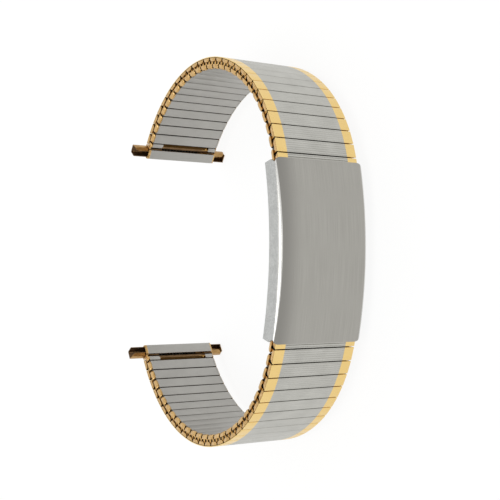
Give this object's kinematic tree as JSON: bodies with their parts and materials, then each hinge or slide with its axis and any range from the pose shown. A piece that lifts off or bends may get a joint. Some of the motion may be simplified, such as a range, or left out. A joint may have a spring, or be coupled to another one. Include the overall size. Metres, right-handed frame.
{
  "type": "expansion watch band",
  "caption": "Two-tone expansion watch band of hollow links tied by staples, with a curved identity plate and telescoping ends for a spring bar.",
  "frame": {"origin": "centre of the bounding box at its lowest point, the tips of the far arms", "axes": "+Z across the band from the far edge to the near edge, +X out of the identity plate, +Y along the plate; the band is symmetric about Y = 0"},
  "size_m": [0.059, 0.0742, 0.022],
  "materials": {
    "brushed_plate_steel": "brushed along the band",
    "cap_steel_gold_edged": "fine grooves across the band, gold plate on both ends",
    "satin_link_steel": "satin",
    "gold_plate": "satin gold plate on steel",
    "spring_steel": "bright spring temper"
  },
  "bodies": {
    "plate_section": {"id_plate": "brushed_plate_steel", "plate_caps": "cap_steel_gold_edged", "plate_outer_links": "gold_plate", "plate_inner_links": "satin_link_steel", "plate_staples": "gold_plate", "plate_leaf_springs": "spring_steel"},
    "upper_1": {"upper_1_caps": "cap_steel_gold_edged", "upper_1_outer_links": "gold_plate", "upper_1_inner_links": "satin_link_steel", "upper_1_staples": "gold_plate", "upper_1_leaf_springs": "spring_steel"},
    "upper_2": {"upper_2_caps": "cap_steel_gold_edged", "upper_2_outer_links": "gold_plate", "upper_2_inner_links": "satin_link_steel", "upper_2_staples": "gold_plate", "upper_2_leaf_springs": "spring_steel"},
    "upper_2_stretch": {"upper_2_stretch_staples": "gold_plate"},
    "upper_3": {"upper_3_caps": "cap_steel_gold_edged", "upper_3_outer_links": "gold_plate", "upper_3_inner_links": "satin_link_steel", "upper_3_staples": "gold_plate", "upper_3_leaf_springs": "spring_steel"},
    "upper_4": {"upper_4_caps": "cap_steel_gold_edged", "upper_4_outer_links": "gold_plate", "upper_4_inner_links": "satin_link_steel", "upper_4_staples": "gold_plate", "upper_4_leaf_springs": "spring_steel"},
    "upper_4_stretch": {"upper_4_stretch_staples": "gold_plate"},
    "upper_end": {"upper_end_link": "satin_link_steel", "upper_arm_springs": "spring_steel"},
    "upper_near_arm": {"upper_near_arm": "gold_plate"},
    "upper_far_arm": {"upper_far_arm": "gold_plate"},
    "lower_1": {"lower_1_caps": "cap_steel_gold_edged", "lower_1_outer_links": "gold_plate", "lower_1_inner_links": "satin_link_steel", "lower_1_staples": "gold_plate", "lower_1_leaf_springs": "spring_steel"},
    "lower_2": {"lower_2_caps": "cap_steel_gold_edged", "lower_2_outer_links": "gold_plate", "lower_2_inner_links": "satin_link_steel", "lower_2_staples": "gold_plate", "lower_2_leaf_springs": "spring_steel"},
    "lower_2_stretch": {"lower_2_stretch_staples": "gold_plate"},
    "lower_3": {"lower_3_caps": "cap_steel_gold_edged", "lower_3_outer_links": "gold_plate", "lower_3_inner_links": "satin_link_steel", "lower_3_staples": "gold_plate", "lower_3_leaf_springs": "spring_steel"},
    "lower_4": {"lower_4_caps": "cap_steel_gold_edged", "lower_4_outer_links": "gold_plate", "lower_4_inner_links": "satin_link_steel", "lower_4_staples": "gold_plate", "lower_4_leaf_springs": "spring_steel"},
    "lower_4_stretch": {"lower_4_stretch_staples": "gold_plate"},
    "lower_end": {"lower_end_link": "satin_link_steel", "lower_arm_springs": "spring_steel"},
    "lower_near_arm": {"lower_near_arm": "gold_plate"},
    "lower_far_arm": {"lower_far_arm": "gold_plate"}
  },
  "joints": [
    {"name": "upper_1_bend", "type": "hinge", "parent": "plate_section", "child": "upper_1", "pos_m": [0.02512, 0.01649, 0.0106], "axis": [0, 0, 1], "range_deg": [-4, 8]},
    {"name": "upper_2_stretch", "type": "hinge", "parent": "upper_1", "child": "upper_2_stretch", "pos_m": [0.01684, 0.02872, 0.0106], "axis": [0, 0, 1], "range_deg": [0, 25], "stiffness_Nm_per_rad": 0.02},
    {"name": "upper_2_level", "type": "hinge", "parent": "upper_2_stretch", "child": "upper_2", "pos_m": [0.01761, 0.02966, 0.0106], "axis": [0, 0, 1], "range_deg": [-25, 0], "stiffness_Nm_per_rad": 0.02},
    {"name": "upper_3_bend", "type": "hinge", "parent": "upper_2", "child": "upper_3", "pos_m": [0.00339, 0.03486, 0.0106], "axis": [0, 0, 1], "range_deg": [-4, 8]},
    {"name": "upper_4_stretch", "type": "hinge", "parent": "upper_3", "child": "upper_4_stretch", "pos_m": [-0.0137, 0.03299, 0.0106], "axis": [0, 0, 1], "range_deg": [0, 25], "stiffness_Nm_per_rad": 0.02},
    {"name": "upper_4_level", "type": "hinge", "parent": "upper_4_stretch", "child": "upper_4", "pos_m": [-0.01417, 0.03411, 0.0106], "axis": [0, 0, 1], "range_deg": [-25, 0], "stiffness_Nm_per_rad": 0.02},
    {"name": "upper_end_bend", "type": "hinge", "parent": "upper_4", "child": "upper_end", "pos_m": [-0.02629, 0.02313, 0.0106], "axis": [0, 0, 1], "range_deg": [-4, 8]},
    {"name": "upper_near_arm_slide", "type": "slide", "parent": "upper_end", "child": "upper_near_arm", "axis": [0, 0, -1], "range_m": [0, 0.0032], "stiffness_N_per_m": 1000, "deforming": ["upper_arm_springs"]},
    {"name": "upper_far_arm_slide", "type": "slide", "parent": "upper_end", "child": "upper_far_arm", "axis": [0, 0, 1], "range_m": [0, 0.0024], "stiffness_N_per_m": 1000, "deforming": ["upper_arm_springs"]},
    {"name": "lower_1_bend", "type": "hinge", "parent": "plate_section", "child": "lower_1", "pos_m": [0.02512, -0.01649, 0.0106], "axis": [0, 0, -1], "range_deg": [-4, 8]},
    {"name": "lower_2_stretch", "type": "hinge", "parent": "lower_1", "child": "lower_2_stretch", "pos_m": [0.01684, -0.02872, 0.0106], "axis": [0, 0, -1], "range_deg": [0, 25], "stiffness_Nm_per_rad": 0.02},
    {"name": "lower_2_level", "type": "hinge", "parent": "lower_2_stretch", "child": "lower_2", "pos_m": [0.01761, -0.02966, 0.0106], "axis": [0, 0, -1], "range_deg": [-25, 0], "stiffness_Nm_per_rad": 0.02},
    {"name": "lower_3_bend", "type": "hinge", "parent": "lower_2", "child": "lower_3", "pos_m": [0.00339, -0.03486, 0.0106], "axis": [0, 0, -1], "range_deg": [-4, 8]},
    {"name": "lower_4_stretch", "type": "hinge", "parent": "lower_3", "child": "lower_4_stretch", "pos_m": [-0.0137, -0.03299, 0.0106], "axis": [0, 0, -1], "range_deg": [0, 25], "stiffness_Nm_per_rad": 0.02},
    {"name": "lower_4_level", "type": "hinge", "parent": "lower_4_stretch", "child": "lower_4", "pos_m": [-0.01417, -0.03411, 0.0106], "axis": [0, 0, -1], "range_deg": [-25, 0], "stiffness_Nm_per_rad": 0.02},
    {"name": "lower_end_bend", "type": "hinge", "parent": "lower_4", "child": "lower_end", "pos_m": [-0.02629, -0.02313, 0.0106], "axis": [0, 0, -1], "range_deg": [-4, 8]},
    {"name": "lower_near_arm_slide", "type": "slide", "parent": "lower_end", "child": "lower_near_arm", "axis": [0, 0, -1], "range_m": [0, 0.0032], "stiffness_N_per_m": 1000, "deforming": ["lower_arm_springs"]},
    {"name": "lower_far_arm_slide", "type": "slide", "parent": "lower_end", "child": "lower_far_arm", "axis": [0, 0, 1], "range_m": [0, 0.0024], "stiffness_N_per_m": 1000, "deforming": ["lower_arm_springs"]}
  ],
  "couplings": [
    {"joint": "upper_2_level", "follows": "upper_2_stretch", "ratio": -1},
    {"joint": "upper_4_level", "follows": "upper_4_stretch", "ratio": -1},
    {"joint": "lower_2_level", "follows": "lower_2_stretch", "ratio": -1},
    {"joint": "lower_4_level", "follows": "lower_4_stretch", "ratio": -1}
  ]
}
